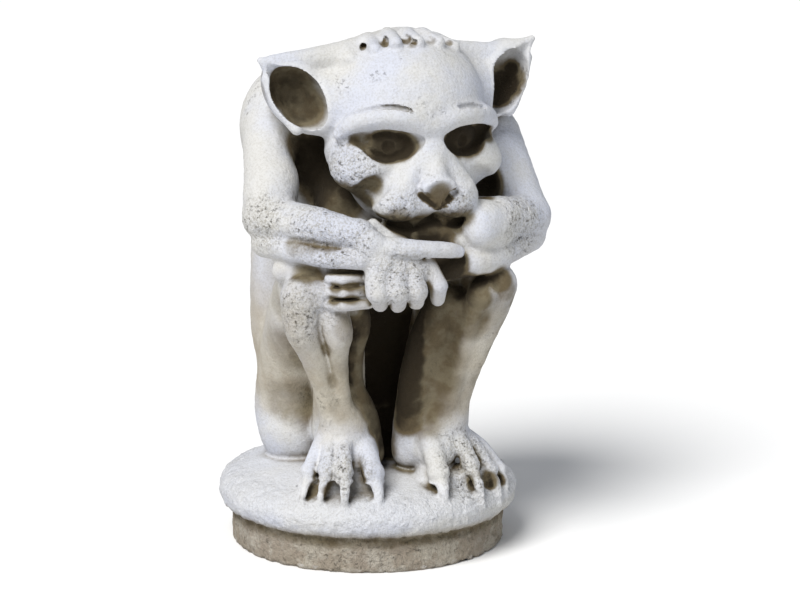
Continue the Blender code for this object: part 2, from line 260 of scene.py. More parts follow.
def netted(field, low, step):
    """A net of four-sided faces over the field's zero level."""
    inside = field < 0
    n = np.array(field.shape)
    corners = np.array([(i, j, k) for i in (0, 1) for j in (0, 1) for k in (0, 1)])
    count = np.zeros(n - 1, np.int8)
    for i, j, k in corners:
        count += inside[i:n[0] - 1 + i, j:n[1] - 1 + j, k:n[2] - 1 + k]
    cells = np.argwhere((count > 0) & (count < 8))
    index = np.full(n - 1, -1, np.int32)
    index[tuple(cells.T)] = np.arange(len(cells))
    values = [field[tuple((cells + corner).T)] for corner in corners]
    total = np.zeros((len(cells), 3))
    crossings = np.zeros(len(cells))
    for a in range(8):
        for b in range(a + 1, 8):
            if np.abs(corners[a] - corners[b]).sum() != 1:
                continue
            crossing = (values[a] < 0) != (values[b] < 0)
            fall = values[a] - values[b]
            t = np.where(crossing, values[a] / np.where(fall == 0, 1, fall), 0)
            total += np.where(crossing[:, None], corners[a] + t[:, None] * (corners[b] - corners[a]), 0)
            crossings += crossing
    points = low + (cells + total / crossings[:, None]) * step
    faces = []
    for axis in range(3):
        u, v = (axis + 1) % 3, (axis + 2) % 3
        here, there = [slice(None)] * 3, [slice(None)] * 3
        here[axis], there[axis] = slice(0, -1), slice(1, None)
        edges = np.argwhere(inside[tuple(here)] != inside[tuple(there)])
        across = edges[:, [u, v]]
        edges = edges[((across > 0) & (across < n[[u, v]] - 1)).all(1)]
        outward = inside[tuple(edges.T)]
        du, dv = np.eye(3, dtype=int)[u], np.eye(3, dtype=int)[v]
        ring = np.stack([index[tuple((edges - du - dv).T)], index[tuple((edges - dv).T)],
                         index[tuple(edges.T)], index[tuple((edges - du).T)]], 1)
        ring[~outward] = ring[~outward][:, ::-1]
        faces.append(ring)
    return points, np.concatenate(faces)


def lattice_noise(points, size, seed):
    """Smooth noise from -1 to 1, with lumps about as wide as size."""
    table = np.random.default_rng(seed).uniform(-1, 1, (32, 32, 32))
    where = points / size
    cell = np.floor(where).astype(int)
    part = where - cell
    part = part * part * (3 - 2 * part)
    total = np.zeros(len(points))
    for corner in range(8):
        step = np.array([corner & 1, corner >> 1 & 1, corner >> 2 & 1])
        weight = np.prod(np.where(step, part, 1 - part), axis=1)
        total += weight * table[tuple(((cell + step) % 32).T)]
    return total


# The figure
def add_trunk(clay):
    clay.blend = 24
    clay.mass((MID, 46, 50), (66, 44, 48), blend=1)
    clay.mass((MID, 36, 116), (84, 50, 92))
    clay.mass((2, 32, 214), (82, 52, 84), (12, 0, 0))
    clay.mass((MID, 36, 165), (78, 50, 60))
    clay.blend = 14
    clay.mass((-52, 24, 38), (32, 34, 38))
    clay.mass((46, 24, 36), (28, 34, 34))
    clay.mass((0, 22, 60), (42, 34, 60))
    clay.mass((2, 12, 150), (54, 34, 66))
    clay.mass((4, -24, 205), (56, 38, 40), blend=10)
    clay.mass((76, -24, 216), (26, 30, 42), blend=8)
    clay.mass((2, -50, 177), (64, 36, 27), blend=8)
    clay.limb([(-32, -30, 50), (-39, -43, 108), (-42, -50, 150)], [17, 18, 20], blend=6)
    clay.limb([(27, -30, 50), (31, -42, 108), (37, -50, 150)], [17, 18, 20], blend=6)
    clay.limb([(4, 10, 240), (8, -28, 254)], [50, 44])
    clay.mass((-63, 12, 262), (36, 34, 46))
    clay.mass((72, 10, 248), (37, 34, 44))


def add_legs(clay):
    for side in (-1, 1):
        clay.blend = 8
        clay.limb([(MID + side * 48, 34, 52), (MID + side * 53, 4, 98), (MID + side * 62, -36, 146),
                   (MID + side * 66, -66, 157)], [33, 31, 24, 19])
        clay.limb([(MID + side * 34, -20, 40), (MID + side * 38, -32, 84), (MID + side * 46, -46, 124)],
                  [18, 16, 13], blend=6)
        clay.mass((MID + side * 66, -78, 157), (18, 18, 17), blend=5)
    clay.blend = 2.5
    clay.limb([(-79, -82, 156), (-77.5, -80, 134), (-69, -74, 115), (-58, -66, 87), (-50, -60, 64)],
              [15, 13.5, 11, 9, 9])
    clay.limb([(-58, -82, 148), (-53, -86, 130), (-51, -80, 114), (-46, -70, 87), (-42, -62, 64)],
              [12, 11.5, 8.5, 6.5, 8])
    clay.limb([(-38, -72, 146), (-33, -68, 130), (-36, -61, 110), (-34, -54, 82), (-25, -48, 56),
               (-20, -44, 28)], [11, 10, 10, 10, 13, 14])
    clay.limb([(67, -82, 156), (64, -80, 142), (58, -74, 122), (54, -69, 107), (49, -61, 86),
               (44, -54, 62)], [16, 14.5, 13, 12.5, 11.5, 11])
    clay.limb([(54, -90, 152), (49, -85, 138), (44, -76, 107), (37, -65, 70)], [12, 9, 7, 8], blend=3)
    clay.limb([(30, -72, 144), (22, -66, 120), (19, -58, 100), (16, -52, 75), (14, -48, 50),
               (14, -46, 28)], [13, 14, 14, 14, 14, 15], blend=4)
    clay.limb([(44, -72, 140), (37, -63, 108), (32, -56, 76)], [13, 12.5, 12], blend=5)


RIGHT_TOES = (
    ((-54, -54, 42), (-71, -72, 25), (-78, -75, 2), 5.8),
    ((-50, -58, 44), (-60, -80, 27), (-67, -83, 2), 6.1),
    ((-42, -60, 44), (-48.5, -87, 26), (-51, -95, 1), 6.8),
    ((-28, -56, 38), (-27, -87, 24), (-24.5, -97, 2), 8.2),
)
LEFT_TOES = (
    ((22, -58, 42), (22.5, -86, 20), (24.5, -99, 0), 8.4),
    ((42, -58, 42), (50, -76, 22), (55, -92, -3), 7.0),
    ((50, -54, 38), (68, -67, 14), (72, -79, -6), 6.2),
    ((55, -46, 34), (78, -57, 11), (82, -66, -5), 6.0),
)


def add_foot(clay, side, toes):
    clay.blend = 8
    clay.mass((MID + side * 38, -54, 46), (19, 18, 24), (25, 0, 0))
    clay.mass((MID + side * 34, -38, 24), (18, 26, 18))
    clay.mass((MID + side * 30, -60, 32), (17, 20, 15), (20, 0, 0))
    for base, knuckle, tip, thickness in toes:
        base, knuckle, tip = np.array(base), np.array(knuckle), np.array(tip)
        arch = (base + knuckle) / 2 + np.array((0, -1, 4))
        clay.limb([base, arch, knuckle], [thickness + 2, thickness, thickness * 0.95], blend=2.5)
        clay.mass(knuckle, (thickness * 1.1, thickness * 1.15, thickness), blend=1.5)
        clay.mass(knuckle + np.array((0, -1.5, -6)), (thickness * 1.05, thickness * 1.02, 2.6), blend=1)
        bend = knuckle * 0.45 + tip * 0.55 + np.array((0, -3, 1.5))
        clay.limb([knuckle + np.array((0, -2, -3)), bend, tip + np.array((0, 0, -3))],
                  [thickness * 0.72, thickness * 0.58, thickness * 0.34], blend=1)


def add_toe_beds(clay):
    """Stone left standing behind the claws."""
    clay.mass((-56, -64, 8), (21, 15, 19), blend=3)
    clay.mass((-30, -66, 8), (13, 14, 20), blend=3)
    clay.mass((50, -65, 4), (33, 14, 17), (0, 0, 30), blend=3)
    clay.mass((22, -66, 6), (12, 16, 18), blend=3)


def add_arms(clay):
    clay.blend = 6
    clay.limb([(-77, -2, 262), (-86, -22, 243), (-88, -36, 228), (-93, -46, 208)], [24, 19, 20.5, 19])
    clay.limb([(-93, -46, 207), (-80, -66, 207), (-64, -84, 206.5), (-47, -100, 204), (-34, -110, 198)],
              [17, 15, 13.5, 11, 9.5], blend=4)
    clay.limb([(-95, -49, 190), (-78, -79, 188), (-62, -93, 186), (-42, -107, 186)],
              [12, 9, 8.5, 8], blend=2)
    clay.mass((-42, -104, 207), (10, 8, 8), blend=3)
    clay.limb([(86, -4, 248), (94, -26, 222), (99, -50, 198)], [25, 21, 19])
    clay.limb([(100, -52, 200), (84, -66, 201), (66, -80, 204), (49, -95, 200)],
              [17, 16.5, 16, 14], blend=4)
    clay.mass((60, -66, 204), (22, 18, 15), blend=6)
    clay.mass((50, -88, 208), (18, 18, 13), blend=4)
    clay.mass((65, -86, 199), (28, 12, 17), (0, 0, 40), blend=4)
    clay.cutting = True
    clay.mass((18, -92, 216), (22, 45, 21), (0, 0, -16), blend=0.8)
    clay.cutting = False
    clay.limb([(12, -90, 190), (30, -92, 190), (48, -90, 190)], [11, 10, 10], blend=4)
    clay.limb([(100, -54, 186), (80, -74, 181), (60, -90, 177), (40, -98, 177), (12, -92, 172),
               (-24, -94, 166)], [14, 11, 10.5, 10.5, 11, 11], blend=2)
    clay.cutting = True
    clay.limb([(53, -104, 188.5), (68, -98.5, 186.5), (80, -91.5, 188), (90, -84, 191)],
              [1.4, 2.2, 1.8, 1], blend=1)
    clay.cutting = False


def add_hands(clay):
    """The right hand over the left forearm, and the left hand's fingers round the right knee."""
    clay.blend = 3
    clay.limb([(-36, -108, 194), (-26, -110, 184)], [10, 10])
    clay.mass((-14, -108, 176), (25, 11, 15), (8, 0, 0))
    clay.limb([(-27, -110, 181), (-31.5, -112, 172), (-32.5, -115, 163)], [9, 8, 8])
    clay.limb([(-30, -111, 195), (0, -116, 193), (20, -113, 190.5), (29, -110, 188)],
              [8.5, 6.6, 6.2, 5.4], blend=2)
    clay.limb([(-31, -101, 210), (-22, -103, 202.5), (-10, -106, 196)], [4.5, 4.5, 5], blend=2)
    fingers = (
        ((-31, -108, 180), (-31.5, -117, 163), (-29, -112, 154), 8.0),
        ((-19, -110, 180), (-17.5, -120, 163), (-16, -113, 153), 8.0),
        ((-6, -110, 180), (-3.5, -119, 163), (-2.5, -112, 154), 7.8),
        ((7, -107, 180), (14, -112, 165), (15.5, -106, 154), 7.4),
    )
    for root, knuckle, tip, thickness in fingers:
        clay.limb([root, knuckle], [thickness, thickness], blend=2.5)
        clay.limb([knuckle, tip], [thickness * 0.98, thickness * 0.78], blend=1)
    clay.mass((-34, -92, 163), (16, 9, 17), blend=3)
    clay.mass((-50, -92, 161), (13, 7, 15), blend=3)
    clay.limb([(-86, -62, 171), (-64, -76, 175), (-44, -88, 173)], [9, 9, 9], blend=4)
    for level in (170.5, 161, 151.5):
        clay.limb([(-61, -94, level), (-53, -101, level + 0.5), (-36, -101, level + 1)],
                  [4.2, 4.5, 4.4], blend=0.8)


def add_head(clay):
    clay.blend = 10
    clay.mass((0, 2, 24), (58, 58, 50))
    clay.mass((0, -4, -8), (62, 45, 40))
    clay.mass((0, -14, -36), (44, 34, 28))
    clay.limb([(0, -43, 16), (0, -45, 3), (0, -51, -10), (0, -57, -21)], [8, 7.5, 8.5, 9], blend=6)
    clay.mass((0, -32, -65), (36, 20, 17), blend=2)
    for side in (-1, 1):
        low = side + 1
        clay.limb([(6 * side, -50, 14), (20 * side, -50, 21 - low), (36 * side, -43, 22 - 2 * low),
                   (50 * side, -32, 18 - 2 * low), (59 * side, -21, 8 - low)],
                  [6, 7.5, 8, 7.5, 5], blend=6)
        clay.mass((40 * side, -22, -18), (25, 22, 18), blend=9)
        clay.limb([(5 * side, -47, -6), (14 * side, -47, -20), (20 * side, -46, -32)],
                  [8, 10, 13], blend=6)
    clay.mass((-22.5, -43, -39.5), (22, 19, 15.5), blend=4)
    clay.mass((18, -44, -40), (19, 18, 16), blend=4)
    clay.mass((-9, -49, -40), (12, 12, 13), blend=3)
    clay.mass((9, -49, -40), (12, 12, 13), blend=3)
    clay.mass((0, -61, -28.5), (14, 10, 9), blend=1.5)
    clay.limb([(0, -61.5, -34), (0, -59.5, -42)], [8, 4.5], blend=1.5)


LOCK_ENDS = ((-42, -5, 57), (-28, -15, 65), (-15, -22, 69.5), (1, -25, 69.5), (18, -22, 67.5), (33, -14, 62))


def add_hair(clay):
    """A low cap over the crown whose front edge ends in a row of short locks."""
    clay.mass((0, 10, 26), (52, 46, 50), blend=2)
    for x, y, height in LOCK_ENDS:
        clay.limb([(x * 0.8, y + 22, height + 2), (x, y, height)], [7, 5.4], blend=2)


def add_ears(clay):
    """Dished pointed ears that face forwards and a little outwards."""
    for side in (-1, 1):
        web = EAR_WEB_HEIGHT - side * 3
        ear_turn = (0, EAR_SLANT * side, EAR_FLARE * side)
        clay.limb([(28 * side, 8, web - 1), (54 * side, 9, web), (78 * side, 9, web + 0.5),
                   (105 * side, 10, 60)], [15, 10, 7, 2.2], blend=8)
        clay.mass((76.5 * side, 11, 32), (22.5, 20, 33), ear_turn, blend=5)
        clay.limb([(84 * side, 9, 40), (105.5 * side, 10, 59.5)], [15, 2.4], blend=3)
        clay.limb([(102 * side, 9, 46), (94 * side, 7, 27), (82 * side, 1, 11)], [3.5, 5, 6], blend=3)
        clay.mass((52 * side, 6, 26), (22, 24, 24), blend=8)


HAIR_HOLES = (
    ((-33, -4, 65), 2.8), ((-20, -15, 69), 3.4), ((-6, -20, 71), 3.6), ((-3, -28, 69), 2.2),
    ((12, -23, 69), 3.2), ((29, -14, 66), 3.0),
)


def carve_head(clay):
    """Ear bowls, eye sockets, nostrils, mouth, creases and the hollows beside the muzzle."""
    clay.cutting = True
    clay.mass((0, -119.5, -53), (60, 60, 60), blend=0.6)
    for side in (-1, 1):
        ear_turn = (0, EAR_SLANT * side, EAR_FLARE * side)
        clay.mass((79 * side, 2.5, 32), (17, 19.5, 26), ear_turn, blend=1.5)
        clay.limb([(84 * side, 2, 38), (101 * side, 4, 56)], [13, 2.6], blend=1.5)
        clay.limb([(9.5 * side + 1.5, -51, 3.6), (13 * side + 1, -50.5, 2.8), (18 * side, -49.5, 1.5),
                   (27 * side, -45, 0), (35 * side, -40, 0.5), (44 * side, -33, 3.5), (51 * side, -28, 5)],
                  [2.2, 5, 8, 11.5, 11, 6, 3], blend=1)
        clay.limb([(32 * side, -50, -19), (43 * side, -44, -30), (55 * side, -28, -44)],
                  [4, 8.5, 10], blend=3)
        clay.limb([(15 * side, -60.5, -31), (10 * side, -62.5, -36), (3.5 * side, -63, -42)],
                  [2.4, 3.6, 2.4], blend=0.8)
    clay.limb([(-51, -33.9, 25), (-46, -39.6, 26.8), (-40, -43.6, 28.1), (-32, -47.8, 28.7),
               (-23, -52, 27.6), (-17, -54.4, 26)], [1.4, 2, 2.2, 2, 1.8, 1.2], blend=0.8)
    clay.limb([(20.5, -53.5, 25.9), (31.8, -49, 25.4), (44.3, -43, 22.3)], [1.2, 1.8, 1.2], blend=0.8)
    clay.limb([(0, -63, -43), (0.5, -62, -50)], [1.8, 2.2], blend=1.5)
    clay.limb([(-41, -36, -52), (-27, -46, -58), (-10, -50, -56.5), (0, -52, -52), (13, -50, -57.5),
               (27, -46, -57.5), (38, -36, -54)], [2.4, 3.4, 3.4, 3, 3.4, 3.4, 2.4], blend=1.2)
    for (x, y, height), wide in HAIR_HOLES:
        clay.limb([(x, y - 2, height + 0.6), (x * 0.94 + 1, y + 5, height + 2)],
                  [wide * 0.85, wide * 0.5], blend=0.8)
    clay.cutting = False


def add_eyes(clay):
    for side in (-1, 1):
        clay.mass((26 * side, -30, 0), (18, 10, 13), (0, 0, 22 * side), blend=1)
        clay.cutting = True
        clay.mass((29 * side, -39.5, -1), (4, 3.2, 4.4), blend=0.8)
        clay.cutting = False


def plinth_profile():
    """Outer side of the plinth from the crown down to the underside, as (radius, height)."""
    points = []
    rise = SLAB_CROWN_HEIGHT - SLAB_WIDEST_HEIGHT
    rings = 24
    for ring in range(rings + 1):
        angle = math.pi / 2 * ring / rings
        radius = SLAB_RADIUS * max(math.sin(angle), 0.0) ** (2 / CUSHION_POWER)
        height = SLAB_WIDEST_HEIGHT + rise * max(math.cos(angle), 0.0) ** (2 / CUSHION_POWER)
        points.append((radius, height))
    drop = SLAB_WIDEST_HEIGHT - SLAB_LIP_HEIGHT
    for step in range(1, 13):
        angle = math.pi / 2 * step / 12
        radius = SLAB_RADIUS - LIP_RADIUS + LIP_RADIUS * math.cos(angle)
        if radius > DRUM_RADIUS:
            points.append((radius, SLAB_WIDEST_HEIGHT - drop * math.sin(angle)))
    points += [(DRUM_RADIUS, SLAB_LIP_HEIGHT), (DRUM_RADIUS, DRUM_EDGE)]
    points += [(DRUM_RADIUS - DRUM_EDGE, 0.0), (0.0, 0.0)]
    return points


def add_plinth(clay):
    """The turned slab and drum, from distances to their profile."""
    low = STANCE_HEIGHT
    radii = np.arange(0, 200, 0.5)
    spans = (slice(None), slice(None), slice(0, int((120 - low - clay.low[2]) / clay.step)))
    x, y, z = clay.grid(spans)
    heights = (z.ravel() + low).astype(float)
    r, h = radii[:, None], heights[None, :]
    nearest = np.full((len(radii), len(heights)), 1e6)
    inside = np.zeros(nearest.shape, bool)
    outline = plinth_profile()
    for (ra, ha), (rb, hb) in zip(outline, outline[1:]):
        dr, dh = rb - ra, hb - ha
        t = np.clip(((r - ra) * dr + (h - ha) * dh) / max(dr * dr + dh * dh, 1e-9), 0, 1)
        nearest = np.minimum(nearest, np.hypot(r - ra - t * dr, h - ha - t * dh))
        crosses = (ha > h) != (hb > h)
        edge = ra + (h - ha) * dr / (dh if dh else 1.0)
        inside ^= crosses & (r < edge)
    signed = np.where(inside, -nearest, nearest)
    far = np.hypot(x + FIGURE_OFFSET_X, y)[:, :, 0] / 0.5
    cell = np.clip(far.astype(int), 0, len(radii) - 2)
    part = np.clip(far - cell, 0, 1)[:, :, None]
    clay.merge(spans, (signed[cell] * (1 - part) + signed[cell + 1] * part).astype(np.float32), 3.0)


def modelled():
    clay = Clay((-132, -136, -50), (126, 114, 346), GRID_STEP)
    add_trunk(clay)
    add_legs(clay)
    add_foot(clay, -1, RIGHT_TOES)
    add_foot(clay, 1, LEFT_TOES)
    add_toe_beds(clay)
    add_arms(clay)

    clay_head = Clay((-115, -132, 176), (125, 36, 346), GRID_STEP)
    clay_head.place(turning(0, HEAD_LEAN, HEAD_TURN), HEAD_PLACE)
    add_head(clay_head)
    add_hair(clay_head)
    add_ears(clay_head)
    carve_head(clay_head)
    add_eyes(clay_head)
    first = np.round((clay_head.low - clay.low) / GRID_STEP).astype(int)
    clay_head.low = clay.low + first * GRID_STEP
    last = np.minimum(first + clay_head.count, clay.count)
    spans = tuple(slice(a, b) for a, b in zip(first, last))
    clay.merge(spans, clay_head.field[tuple(slice(0, b - a) for a, b in zip(first, last))], 3.0)
    add_hands(clay)
    clay.cutting = True
    clay.mass((68, -58, 226), (9, 16, 11), blend=3)
    clay.cutting = False
    add_plinth(clay)
    return clay


def rim_wear(points):
    """How far each point lies on the worn round rim of the slab."""
    wide = np.hypot(points[:, 0] + FIGURE_OFFSET_X, points[:, 1])
    return np.clip((wide - SLAB_RADIUS + 34) / 24, 0, 1) * np.clip((14 - points[:, 2]) / 8, 0, 1)


def grained(points, normals):
    """Worn, granular skin: low lumps, grain, rougher patches and a rougher slab."""
    rim = rim_wear(points)
    rough = np.maximum(patches(points, ROUGH), rim * 1.3)
    lumps = lattice_noise(points, 17.0, 3) * 0.35 + lattice_noise(points, 7.0, 4) * 0.22
    grain = lattice_noise(points, 3.1, 5) * (0.14 + 0.22 * rough)
    grain += lattice_noise(points, 1.9, 6) * (0.08 + 0.22 * rough)
    worn = lattice_noise(points, 5.0, 7) * 0.4 * rough
    worn += lattice_noise(points, 4.0, 8) * 0.5 * rim
    return points + normals * (lumps + grain + worn - 0.5)[:, None]


def face_normals(points, faces):
    a, b, c, d = (points[faces[:, i]] for i in range(4))
    across = np.cross(c - a, d - b)
    normals = np.zeros(points.shape)
    for i in range(4):
        for axis in range(3):
            normals[:, axis] += np.bincount(faces[:, i], across[:, axis], len(points))
    return normals / np.maximum(np.linalg.norm(normals, axis=1), 1e-9)[:, None]


def quad_mesh(name, points, faces):
    mesh = bpy.data.meshes.new(name)
    mesh.vertices.add(len(points))
    mesh.vertices.foreach_set("co", points.astype(np.float32).ravel())
    mesh.loops.add(len(faces) * 4)
    mesh.loops.foreach_set("vertex_index", faces.astype(np.int32).ravel())
    mesh.polygons.add(len(faces))
    mesh.polygons.foreach_set("loop_start", (np.arange(len(faces)) * 4).astype(np.int32))
    mesh.update(calc_edges=True)
    mesh.validate()
    return mesh


def settled(item):
    bpy.context.view_layer.update()
    evaluated = item.evaluated_get(bpy.context.evaluated_depsgraph_get())
    mesh = bpy.data.meshes.new_from_object(evaluated)
    item.modifiers.clear()
    item.data = mesh
    return mesh


def vertex_arrays(mesh):
    points = np.empty(len(mesh.vertices) * 3, np.float32)
    normals = np.empty(len(mesh.vertices) * 3, np.float32)
    mesh.vertices.foreach_get("co", points)
    mesh.vertices.foreach_get("normal", normals)
    return points.reshape(-1, 3).astype(float), normals.reshape(-1, 3).astype(float)


def add_value(mesh, name, values):
    layer = mesh.attributes.new(name, "FLOAT", "POINT")
    layer.data.foreach_set("value", values.astype(np.float32))


# Patches, in the figure's millimetres, as (x, y, z, radius, strength)
# Painted shade and shadow, with some soil, on the spots listed below
SHADE_AND_SOIL = (
    # ear bowls
    (-77, -35, 300, 26, 1.15), (-66, -40, 286, 20, 1.15), (-85, -39, 309, 15, 1.1), (-75, -44, 279, 14, 1.0),
    (92, -22, 291, 15, 1.6), (99, -19, 302, 9, 1.6), (87, -25, 281, 13, 1.6), (95, -21, 291, 20, 0.9),
    # eyes
    (-17, -88, 262, 15, 1.6), (-7, -92, 263, 13, 1.55), (-33, -80, 266, 11, 0.7),
    (43, -82, 263, 16, 1.6), (57, -71, 264, 12, 1.6), (31, -88, 261, 12, 1.6),
    # hollows beside the face
    (-54, -17, 238, 26, 1.2), (-47, -24, 222, 24, 1.3), (-65, -25, 253, 14, 0.9), (-38, -45, 215, 17, 1.1),
    (68, -52, 225, 15, 1.8), (60, -78, 219, 8, 0.7), (84, -40, 262, 9, 1.1),
    (-42, -80, 231, 15, 1.25), (-30, -91, 237, 11, 1.2), (-36, -84, 221, 12, 1.1),
    # jaw, nose and lips
    (-10, -97, 205, 13, 1.5), (11, -100, 202, 14, 1.5), (30, -86, 203, 14, 1.5), (22, -94, 196, 11, 1.4),
    (2, -108.5, 230, 3, 1.8), (4.5, -109, 228, 3, 1.8), (7, -109.5, 226, 3, 1.8), (9.5, -109.6, 224, 3, 1.8),
    (12.5, -109.4, 222, 3, 1.8), (15.3, -109, 219.5, 3.4, 1.7), (27.5, -112, 232.5, 3, 1.8),
    (25.5, -110.5, 230, 3, 1.8), (23.5, -109, 227.5, 3, 1.8), (21.5, -108, 225.4, 3, 1.8),
    (18.5, -108.4, 222.4, 3, 1.8), (16, -110, 215.5, 3, 1.3),
    (-14, -110, 214, 12, 0.85), (4, -112, 213, 9, 0.8), (34, -105, 213, 11, 0.85), (22, -110, 213, 8, 0.8),
    # between the legs
    (-3, -18, 113, 26, 1.5), (-2, -13, 74, 26, 1.6), (4, -10, 34, 24, 1.5), (9, -16, 92, 24, 1.5),
    (14, -30, 110, 26, 1.3), (3, -50, 74, 18, 1.2), (6, -8, 14, 16, 1.2), (0, -70, 138, 22, 1.3),
    (1, -72, 138, 19, 1.9), (2, -70, 126, 19, 1.9), (3, -69, 114, 19, 1.9), (4, -67, 102, 19, 1.9),
    (5, -65, 90, 18, 1.9), (6, -63, 78, 17, 1.85), (7, -61, 66, 16, 1.7), (8, -58, 54, 14, 1.4),
    (-27, -76, 136, 14, 1.4), (-28, -73, 124, 14, 1.4), (-28, -70, 112, 14, 1.4), (-28, -67, 100, 14, 1.4),
    (-27, -64, 88, 14, 1.35), (-25, -60, 76, 14, 1.35), (-21, -57, 64, 15, 1.4), (-17, -55, 52, 15, 1.4),
    (-14, -54, 40, 14, 1.3), (-12, -54, 28, 12, 1.0),
    # left leg
    (14, -79, 136, 30, 1.25), (16, -78, 118, 32, 1.25), (17, -76, 102, 32, 1.2), (18, -73, 86, 30, 1.1),
    (19, -70, 70, 27, 0.95), (20, -67, 58, 22, 0.7), (42, -88, 136, 26, 0.95), (58, -90, 142, 22, 0.7),
    (74, -80, 128, 15, 0.7), (66, -73, 106, 12, 0.65), (57, -66, 84, 11, 0.6),
    # right leg
    (-50, -97, 133, 12, 0.6), (-46, -82, 102, 12, 0.6), (-44, -90, 122, 11, 0.6),
    (68, -70, 120, 9, 1.1), (63, -64, 104, 9, 1.1), (57, -60, 88, 9, 1.1), (53, -55, 73, 8, 1.0),
    (-38, -68, 96, 14, 0.75), (-33, -72, 116, 13, 0.95), (-25, -60, 72, 15, 0.9),
    (-43, -72, 68, 16, 0.55), (-58, -84, 118, 8, 0.7), (-53, -72, 92, 9, 0.7), (-48, -86, 110, 12, 0.5),
    (-76, -83, 172, 13, 0.75), (-87, -42, 146, 16, 0.6), (-77, -28, 105, 26, 0.65), (-67, -6, 61, 26, 0.65),
    # left fingers and what the arms shade
    (-58, -101, 165.5, 6, 0.9), (-58, -99, 156, 6, 0.9), (-48, -100, 166, 8, 1.0), (-48, -100, 157, 8, 1.0),
    (26, -104, 176, 14, 1.9), (36, -97, 167, 12, 1.8), (66, -96, 162, 12, 1.3), (48, -97, 162, 11, 1.4),
    (70, -95, 154, 11, 0.9), (48, -97, 150, 14, 1.3), (44, -92, 138, 14, 1.1), (78, -86, 146, 11, 0.8),
    (-84, -82, 193, 10, 0.6), (-78, -86, 193, 9, 0.6), (-72, -90, 193, 9, 0.6), (-62, -95, 192.5, 8, 0.5),
    # between the claws
    (-70, -75, 11, 6, 1.0), (-60, -84, 13, 7, 1.1), (-35, -86, 20, 7, 1.0), (-42, -90, 12, 6, 1.0),
    (66, -75, 8, 8, 1.0), (54, -82, 12, 8, 1.0), (76, -68, 6, 6, 0.9),
    # drilled holes of the hair
    (-12.5, -66, 332.5, 4.5, 0.7), (2, -70, 334, 5, 0.8), (5.5, -77, 332.5, 4, 0.7),
    (20, -71, 332.5, 4, 0.5), (36, -61, 330, 4.5, 0.6),
)
SHADED_UNDERSIDES = (
    # painted shade only where the stone faces forwards and down: nose leather, undersides of the pads
    (15, -114, 230.5, 12, 1.1), (-14, -104, 210, 15, 1.2), (4, -106, 208, 12, 1.2), (30, -100, 209, 14, 1.2),
    (20, -102, 208, 12, 1.2),
)
# Rougher patches, as (x, y, z, radius)
ROUGH = (
    (-48, -88, 248, 26), (-52, -80, 236, 16), (-14, -112, 220, 16), (30, -108, 220, 14), (-70, -90, 205, 24),
    (-45, -103, 200, 20), (-95, -55, 205, 22), (-82, -95, 145, 26), (88, -83, 199, 26), (-60, -96, 190, 16),
    (-15, -112, 176, 24), (101, -32, 285, 16), (-50, -96, 30, 24), (50, -84, 24, 30),
)


def patches(points, places):
    """How far each point lies in the named patches, from 0 outside to the patch's own strength."""
    total = np.zeros(len(points))
    for x, y, z, radius, *strength in places:
        away = np.linalg.norm(points - (x, y, z), axis=1) / radius
        inside = np.clip((1.25 - away) / 0.75, 0, 1)
        total = np.maximum(total, inside * inside * (3 - 2 * inside) * (strength[0] if strength else 1.0))
    return total


def shelter(clay, points, normals):
    """Share of the light from above and around that each point doesn't get."""
    golden = math.pi * (3 - math.sqrt(5))
    lost = np.zeros(len(points))
    whole = np.zeros(len(points))
    start = points + normals * 2.6
    for number in range(SHELTER_RAYS):
        up = 1 - 1.5 * (number + 0.5) / SHELTER_RAYS
        flat = math.sqrt(1 - up * up)
        ray = np.array((flat * math.cos(golden * number), flat * math.sin(golden * number), up))
        facing = normals @ ray
        seen = np.flatnonzero(facing > 0.08)
        weight = facing[seen] * (0.55 + 0.45 * max(up, 0.0))
        hidden = np.zeros(len(seen))
        for reach in SHELTER_REACHES:
            hit = clay.solid_at(start[seen] + ray * reach)
            hidden = np.maximum(hidden, hit * (1 - reach / 110))
        lost[seen] += weight * hidden
        whole[seen] += weight
    return lost / np.maximum(whole, 1e-6)


def wear_and_shade_values(clay, mesh):
    """Where the stone is sheltered, creviced, soiled or worn, kept on the mesh for its material; the crevice
    and shelter values and most patches darken the colour as painted shade.
    """
    points, normals = vertex_arrays(mesh)
    # Nearness of other stone, used to darken creases as painted shade
    near = np.zeros(len(points))
    for reach in (3.0, 6.0):
        near += np.clip(1 - clay.sample(points + normals * reach) / reach, 0, 1.2) / 2
    edge = np.zeros(len(points))
    for reach in (3.0, 6.0):
        edge += np.clip(clay.sample(points - normals * reach) / reach + 1, 0, 1) / 2
    add_value(mesh, "crevice", near)
    add_value(mesh, "shelter", shelter(clay, points, normals))
    add_value(mesh, "edge_wear", edge)
    # Painted shade on faces turned downwards; the other patches only on faces turned to the front
    under = np.clip((0.02 - normals[:, 2]) / 0.28, 0, 1)
    front = np.clip((0.4 - normals[:, 1]) / 0.35, 0, 1)
    shade_and_soil = np.maximum(patches(points, SHADE_AND_SOIL) * front, patches(points, SHADED_UNDERSIDES) * under)
    add_value(mesh, "shade_and_soil", shade_and_soil)
    add_value(mesh, "pitted", patches(points, ROUGH))
    add_value(mesh, "rim", rim_wear(points))


